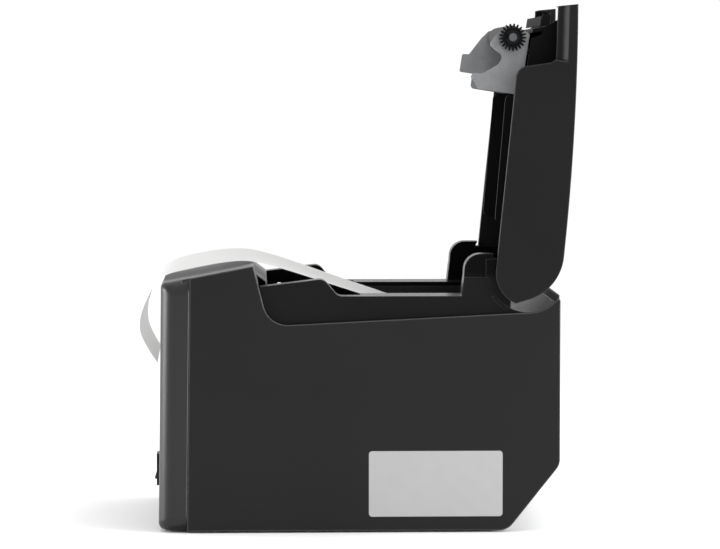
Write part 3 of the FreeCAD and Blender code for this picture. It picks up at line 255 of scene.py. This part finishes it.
zinc_sheet = streaked_metal("steel_sheet_zinc_plated", "#8b8c8e", "#949597", 0.46, 0.4, 6, 0.2)
black_zinc = streaked_metal("steel_sheet_black_zinc", "#1c1d1f", "#26272a", 0.42, 0.4, 6, 0.2)
ground_steel = streaked_metal("steel_ground", "#8e9092", "#a0a2a4", 0.26, 0.3, 5, 0.1)
turned_steel = streaked_metal("steel_turned_shaft", "#55575a", "#626467", 0.34, 0.3, 5, 0.1)
heat_alloy = streaked_metal("aluminium_extruded", "#8c8e90", "#9c9ea0", 0.36, 0.5, 16, 0.2)
print("metals:", [m.name for m in (zinc_sheet, black_zinc, ground_steel, turned_steel, heat_alloy)])

# %% [markdown]
# ## Rubber, oxide, ceramic, board and laminate
#
# Six materials with a fine even grain: the platen's ground rubber, the soft grip
# of the release lever, the oxide that blackens the fixed blade, the glazed ceramic
# of the print head, the wound grey board of the roll core, and the glass laminate
# of the boards under green solder mask. One recipe serves them all, with its own
# grain size, gloss and relief.

# %% Grained materials
def grained(name, dark, pale, rough, grain_mm, relief, sheen=0.5):
    material, tree, place = blank(name)
    grain = add(tree, "TexNoise", {"Vector": place}, Scale=1000 / grain_mm, Detail=5.0)
    tint = add(tree, "ValToRGB", {"Fac": grain.outputs[0]}, [(0.3, dark), (0.7, pale)])
    gloss = add(tree, "ValToRGB", {"Fac": grain.outputs[0]}, [(0.3, rough - 0.05), (0.7, rough + 0.05)])
    skin = add(tree, "Bump", {"Height": grain.outputs[0]}, Strength=relief, Distance=0.0001)
    links = {"Base Color": tint.outputs[0], "Roughness": gloss.outputs[0], "Normal": skin.outputs[0]}
    shader = add(tree, "BsdfPrincipled", links, Specular_IOR_Level=sheen)
    add(tree, "OutputMaterial", {"Surface": shader.outputs[0]})
    return material


platen_rubber = grained("rubber_ground_black", "#0d0d0e", "#151516", 0.65, 0.3, 0.4)
soft_grip = grained("elastomer_moulded_black_grip", "#060607", "#0a0a0b", 0.90, 0.4, 0.6, 0.05)
black_oxide = grained("steel_black_oxide", "#0a0a0b", "#101011", 0.70, 0.4, 0.2, 0.15)
head_ceramic = grained("ceramic_glazed_head", "#cfcabc", "#ddd9cd", 0.24, 1.0, 0.1)
core_board = grained("grey_board_wound_core", "#93795a", "#ab9271", 0.85, 0.6, 0.5)
green_laminate = grained("glass_laminate_solder_mask", "#173c24", "#1f4d2e", 0.40, 1.4, 0.2)
grainy = (platen_rubber, soft_grip, black_oxide, head_ceramic, core_board, green_laminate)
print("grained:", [m.name for m in grainy])

# %% [markdown]
# ## Coated paper
#
# Thermal paper is thin, white and lightly polished between rollers, with a coat
# that takes the print. The strip lets a little light through. The roll is the
# same sheet wound on itself, so its two ends show the edges of hundreds of turns.
# Real turns are 0.06 mm apart, too fine to see, so the rings are drawn 0.3 mm
# apart from the distance to the roll's axis.

# %% Paper
def coated_paper(name, dark, pale, ring_centre=None, through=0.0):
    material, tree, place = blank(name)
    fibre = add(tree, "TexNoise", {"Vector": place}, Scale=1000 / 0.7, Detail=4.0)
    shade = fibre.outputs[0]
    skin = add(tree, "Bump", {"Height": shade}, Strength=0.08, Distance=0.00005)
    if ring_centre:
        from_axis = add(tree, "VectorMath", {0: place}, operation="SUBTRACT")
        from_axis.inputs[1].default_value = ring_centre
        flat = add(tree, "VectorMath", {0: from_axis.outputs[0]}, operation="MULTIPLY")
        flat.inputs[1].default_value = (1, 0, 1)
        reach = add(tree, "VectorMath", {0: flat.outputs[0]}, operation="LENGTH")
        turns = add(tree, "TexNoise", {"W": reach.outputs["Value"]}, noise_dimensions="1D", Scale=1000 / 0.3)
        shade = turns.outputs[0]
        skin = add(tree, "Bump", {"Height": shade, "Normal": skin.outputs[0]}, Strength=0.3, Distance=0.0001)
    tint = add(tree, "ValToRGB", {"Fac": shade}, [(0.35, dark), (0.65, pale)])
    links = {"Base Color": tint.outputs[0], "Normal": skin.outputs[0]}
    surface = add(tree, "BsdfPrincipled", links, Roughness=0.5, IOR=1.5, Specular_IOR_Level=0.4)
    if through:
        glow = add(tree, "BsdfTranslucent", {"Color": tint.outputs[0], "Normal": skin.outputs[0]})
        surface = add(tree, "MixShader", {1: surface.outputs[0], 2: glow.outputs[0]}, Fac=through)
    add(tree, "OutputMaterial", {"Surface": surface.outputs[0]})
    return material


roll_low, roll_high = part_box("paper_roll")
roll_axis = (Vector(roll_low) + Vector(roll_high)) / 2
wound_paper = coated_paper("thermal_paper_wound", "#cbc9c4", "#eae9e7", tuple(roll_axis))
strip_paper = coated_paper("thermal_paper_coated", "#e3e3e2", "#e9e9e8", through=0.30)
print("paper roll axis in mm:", [round(1000 * c, 1) for c in roll_axis])

# %% [markdown]
# ## Give each CAD piece its finish
#
# A CAD node keeps its shape. Only its material slots change, so the finish can be
# swapped later without touching the model.

# %% Hand out the finishes
finishes = {
    case_abs: "main_case",
    front_abs: "front_panel",
    cover_abs: "cover_shell",
    frame_abs: "inner_frame",
    tray_abs: "roll_bucket base_plate power_switch_body",
    liner_abs: "cover_liner platen_gear",
    soft_grip: "release_lever",
    black_acetal: "power_rocker platen_bushings",
    button_abs: "feed_button",
    grey_acetal: "drive_gear reduction_gear motor_pinion",
    zinc_sheet: "platen_frame exit_guide head_spring connector_panel feed_motor",
    black_zinc: "mech_frame latch_hooks cutter_housing retaining_clips frame_screws",
    black_oxide: "fixed_blade",
    turned_steel: "platen_shaft",
    ground_steel: "hinge_pins head_pin gear_posts moving_blade case_screws inlet_pins",
    heat_alloy: "heat_sink supply_heat_sink",
    platen_rubber: "platen_roller rubber_feet",
    head_ceramic: "print_head",
    wound_paper: "paper_roll",
    core_board: "roll_core",
    lens_acrylic: "status_lenses",
    green_laminate: "control_board main_board supply_board",
    component_epoxy: "board_chips button_switch transformer capacitor",
    socket_nylon: "mains_inlet data_socket network_socket drawer_socket",
}
dressed = []
for material, names in finishes.items():
    for name in names.split():
        nodes[name].data.materials.clear()
        nodes[name].data.materials.append(material)
        dressed.append(name)
print("dressed:", len(dressed), "left:", sorted(set(nodes) - set(dressed)))

# %% [markdown]
# ## The paper strip
#
# The strip leaves the top of the roll, climbs to the rear edge of the sloping
# front, lies over it and curls down before the case. It could be a bent CAD
# ribbon, but a hand pulled it out, so its far edge stands a few millimetres
# higher than its near edge. Paper bends along straight lines only, so the strip
# is a ruled sheet: each row is a straight line between a near and a far curve.
# A smooth NURBS line led by a few points gives each curve. The points are X and Z
# in millimetres, from the roll to the free end.

# %% Two edges of the strip
half_width = 0.03975
row_count = 97
near_points = [
    (35.2, 105.5), (15.0, 112.4), (-10.0, 120.4), (-30.0, 127.0), (-46.0, 131.8),
    (-56.0, 133.6), (-68.0, 132.6), (-84.0, 129.4), (-96.0, 126.8), (-101.8, 122.0),
    (-106.4, 112.6), (-109.6, 104.0), (-108.8, 94.0), (-100.4, 82.0),
]
far_points = [
    (35.2, 105.5), (15.0, 112.6), (-10.0, 121.0), (-30.0, 128.2), (-46.0, 133.4),
    (-56.0, 135.4), (-68.0, 135.2), (-84.0, 132.6), (-96.0, 129.0), (-102.0, 123.0),
    (-106.0, 112.6), (-108.0, 104.0), (-107.0, 94.0), (-101.0, 84.6),
]
print("points that lead each edge:", len(near_points), len(far_points))


# %% Walk each edge in even steps
def edge_line(points, y):
    curve = bpy.data.curves.new("strip_edge", "CURVE")
    curve.dimensions = "3D"
    curve.resolution_u = 24
    spline = curve.splines.new("NURBS")
    spline.points.add(len(points) - 1)
    for spot, (x, z) in zip(spline.points, points):
        spot.co = (x / 1000, y, z / 1000, 1)
    spline.order_u = 3
    spline.use_endpoint_u = True
    carrier = bpy.data.objects.new("strip_edge", curve)
    fine = [v.co.copy() for v in bpy.data.meshes.new_from_object(carrier).vertices]
    bpy.data.objects.remove(carrier)
    walked = [0.0]
    for a, b in zip(fine, fine[1:]):
        walked.append(walked[-1] + (b - a).length)
    line, k = [], 0
    for i in range(row_count):
        want = walked[-1] * i / (row_count - 1)
        while k < len(fine) - 2 and walked[k + 1] < want:
            k += 1
        line.append(fine[k].lerp(fine[k + 1], (want - walked[k]) / (walked[k + 1] - walked[k])))
    return line, walked[-1]


near_line, near_length = edge_line(near_points, -half_width)
far_line, far_length = edge_line(far_points, half_width)
print("strip edges in mm:", round(1000 * near_length, 1), round(1000 * far_length, 1))

# %% From a worked shape to a piece
def new_piece(name, shape, material):
    mesh = bpy.data.meshes.new(name)
    shape.to_mesh(mesh)
    shape.free()
    mesh.materials.append(material)
    piece = bpy.data.objects.new(name, mesh)
    bpy.context.scene.collection.objects.link(piece)
    print("made", name, "with", len(mesh.vertices), "points")
    return piece


# %% Rule the sheet between its edges
def ruled_sheet(name, near, far, columns=13):
    grid = bmesh.new()
    shares = [j / (columns - 1) for j in range(columns)]
    rows = [[grid.verts.new(a.lerp(b, share)) for share in shares] for a, b in zip(near, far)]
    for upper, lower in zip(rows, rows[1:]):
        for j in range(columns - 1):
            grid.faces.new((upper[j], upper[j + 1], lower[j + 1], lower[j])).smooth = True
    sheet = new_piece(name, grid, strip_paper)
    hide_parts("paper_web")
    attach(sheet, "body")
    return sheet


deck_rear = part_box("front_panel")[1][0]
cut = min(range(row_count), key=lambda i: abs(near_line[i].x - deck_rear))
lead = ruled_sheet("paper_lead", near_line[:cut + 1], far_line[:cut + 1])
tail = ruled_sheet("paper_tail", near_line[cut:], far_line[cut:])
strip_length = (near_length + far_length) / 2
lead_length = strip_length * cut / (row_count - 1)
tail_length = strip_length - lead_length
print("deck rear edge in mm:", round(1000 * deck_rear, 1), "rows before it:", cut)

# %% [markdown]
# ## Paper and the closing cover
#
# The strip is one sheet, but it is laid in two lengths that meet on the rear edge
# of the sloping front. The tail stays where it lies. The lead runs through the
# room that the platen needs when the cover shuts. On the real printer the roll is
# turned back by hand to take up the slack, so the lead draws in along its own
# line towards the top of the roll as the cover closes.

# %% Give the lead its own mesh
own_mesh(lead)
for sheet, length in ((lead, lead_length), (tail, tail_length)):
    print(sheet.name, "flat size in mm:", round(2000 * half_width, 1), "x", round(1000 * length, 1))

# %% [markdown]
# ## Felt lip over the release tab
#
# The release tab comes out through a slot in the far side, and the slot leaves
# room above the tab. A strip of black felt under the roof of the slot is painted
# shade: it closes that gap, so the gap shows dark. A loft of rounded sections gives
# it a soft lower edge. At its upper limit the tab swings a little way into the felt.

# %% Section of the felt
# painted shade: a black felt strip that fills the gap above the tab so that it shows dark
felt = grained("felt_pressed_black_painted_shade", "#050505", "#090909", 0.95, 0.5, 0.8, 0.05)
lip_front, lip_rear = -0.0397, -0.0230
lip_top, lip_bottom = 0.11765, 0.11608
lip_middle = 0.0574
flank = [(0.0566, lip_top), (0.0566, lip_bottom + 0.0006), (0.0569, lip_bottom + 0.0002)]
section = flank + [(lip_middle, lip_bottom)] + [(2 * lip_middle - y, z) for y, z in reversed(flank)]
lip_long, lip_high = lip_rear - lip_front, lip_top - lip_bottom
print("felt lip in mm:", round(1000 * lip_long, 1), "x", round(1000 * lip_high, 2))

# %% Loft the felt lip
fleece = bmesh.new()
rings = []
ring_count, waver = 17, 0.00008
for i in range(ring_count):
    x = lip_front + lip_long * i / (ring_count - 1)
    wave = waver * math.sin(2.4 * i) * math.sin(1.1 * i)
    rings.append([fleece.verts.new((x, y + wave, z)) for y, z in section])
for one, two in zip(rings, rings[1:]):
    for j in range(len(section)):
        k = (j + 1) % len(section)
        fleece.faces.new((one[j], one[k], two[k], two[j])).smooth = True
fleece.faces.new(rings[0])
fleece.faces.new(rings[-1])
bmesh.ops.recalc_face_normals(fleece, faces=fleece.faces)
lip = new_piece("felt_lip_painted_shade", fleece, felt)
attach(lip, "body")
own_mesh(lip)

# %% [markdown]
# ## Leaf spring behind the print head
#
# A leaf of spring steel is held to the mechanism at its foot, and its free end
# presses the print head against the platen. A solid leaf would stay behind when
# the head tilts. Its mesh is taken over and cut finer.

# %% Leaf spring
leaf_mesh = nodes["head_spring"].data.copy()
fine_leaf = bmesh.new()
fine_leaf.from_mesh(leaf_mesh)
bmesh.ops.subdivide_edges(fine_leaf, edges=fine_leaf.edges, cuts=3, use_grid_fill=True)
fine_leaf.to_mesh(leaf_mesh)
fine_leaf.free()
leaf = bpy.data.objects.new("leaf_spring", leaf_mesh)
bpy.context.scene.collection.objects.link(leaf)
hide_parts("head_spring")
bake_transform(leaf)
print("leaf spring points:", len(leaf_mesh.vertices))

# %% [markdown]
# ## Bare plate on the near side
#
# The near wall carries a plain pale self-adhesive film with rounded corners. An
# outline pushed out by the thickness of the film keeps its edge real, and the
# bevelled normal catches a line of light round it.

# %% Outline of the side plate
plate_left, plate_right, plate_low, plate_high, corner = 0.0047, 0.0710, 0.0080, 0.0406, 0.0016
film_sunk, film_thick = 0.00002, 0.00014
wall_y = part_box("main_case")[0][1]
left, right = plate_left + corner, plate_right - corner
low, high = plate_low + corner, plate_high - corner
film = bmesh.new()
outline = []
for turn, (cx, cz) in enumerate(((right, high), (left, high), (left, low), (right, low))):
    for step in range(7):
        angle = math.radians(90 * turn + 15 * step)
        spot = (cx + corner * math.cos(angle), wall_y + film_sunk, cz + corner * math.sin(angle))
        outline.append(film.verts.new(spot))
plate_size = (plate_right - plate_left, plate_high - plate_low)
print("plate in mm:", [round(1000 * side, 1) for side in plate_size])

# %% Push the film out
face = film.faces.new(outline)
pushed = bmesh.ops.extrude_face_region(film, geom=[face])
moved = [v for v in pushed["geom"] if isinstance(v, bmesh.types.BMVert)]
bmesh.ops.translate(film, verts=moved, vec=(0, -film_thick, 0))
bmesh.ops.recalc_face_normals(film, faces=film.faces)
plate = new_piece("bare_plate", film, plate_film)
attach(plate, "body")

# %% [markdown]
# ## Studio table
#
# A catalogue studio rolls white card under its object and up behind it. One large
# flat face is simpler and does the same here, because the white sky behind it
# hides its far edge.

# %% Floor
floor_mesh = bpy.data.meshes.new("floor")
reach = 6
floor_mesh.from_pydata(
    [(-reach, -reach, 0), (reach, -reach, 0), (reach, reach, 0), (-reach, reach, 0)], [], [(0, 1, 2, 3)]
)
floor = bpy.data.objects.new("floor", floor_mesh)
bpy.context.scene.collection.objects.link(floor)
floor_paint, tree, place = blank("paint_matt_white_floor")
mist = add(tree, "TexNoise", {"Vector": place}, Scale=1000 / 300, Detail=2.0)
pale = add(tree, "ValToRGB", {"Fac": mist.outputs[0]}, [(0.3, "#f8f8f8"), (0.7, "#fafafa")])
shader = add(tree, "BsdfPrincipled", {"Base Color": pale.outputs[0]}, Roughness=0.7)
add(tree, "OutputMaterial", {"Surface": shader.outputs[0]})
floor_mesh.materials.append(floor_paint)
floor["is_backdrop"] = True
print("floor in metres:", 2 * reach, "square")

# %% [markdown]
# ## Light
#
# A white sky gives the even, nearly shadowless light of a catalogue picture. Three
# soft panels shape it: a low one before the front, which draws the bright band on
# the rounded front corner, a low one at the rear near side for the edges that face
# the rear, and a high one for the rims.

# %% Light
world = bpy.data.worlds.new("white_studio")
world.use_nodes = True
sky = world.node_tree.nodes["Background"]
sky.inputs["Color"].default_value = linear("#ffffff")
sky.inputs["Strength"].default_value = 1.05
bpy.context.scene.world = world
lit_point = Vector((0, 0, 0.13))
panels = {
    "left_panel": ((-1.3, 0.05, 0.22), (0.7, 0.5), 13),
    "right_panel": ((1.2, -0.50, 0.25), (0.8, 0.5), 18),
    "top_panel": ((0.6, -0.10, 1.40), (1.0, 0.8), 8),
}
for name, (spot, (wide, tall), watts) in panels.items():
    lamp = bpy.data.lights.new(name, "AREA")
    lamp.shape, lamp.size, lamp.size_y, lamp.energy = "RECTANGLE", wide, tall, watts
    holder = bpy.data.objects.new(name, lamp)
    holder.location = spot
    holder.rotation_euler = (lit_point - Vector(spot)).to_track_quat("-Z", "Y").to_euler()
    bpy.context.scene.collection.objects.link(holder)
    print(name, "in watts:", watts)

# %% [markdown]
# ## Camera
#
# A short lens close by would make the near corners of the box swell. The camera
# stands well back with a long lens, so the box hardly tapers. The Standard view
# transform shows the noted colours without a film curve, so white stays white.

# %% Camera
lens = bpy.data.cameras.new("photo_camera")
lens.lens, lens.sensor_width, lens.clip_start, lens.clip_end = 162.0, 36.0, 0.05, 50.0
camera = bpy.data.objects.new("photo_camera", lens)
camera.location = (-0.0518, -1.663, 0.2283)
aim = Vector((0.0003, -0.070, 0.1282))
camera.rotation_euler = (aim - camera.location).to_track_quat("-Z", "Y").to_euler()
bpy.context.scene.collection.objects.link(camera)
bpy.context.scene.camera = camera
bpy.context.scene.view_settings.view_transform = "Standard"
print("camera stands back in metres:", round((aim - camera.location).length, 2))

# %% [markdown]
# ## Dressed size
#
# The box round every shown piece but the floor is printed, the paper's curl included.
# The dressed printer has to stay within the CAD box, apart from the paper's own curl.

# %% Sizes and finish
low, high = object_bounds()
print("dressed size in mm:", [round(1000 * side, 1) for side in high - low])
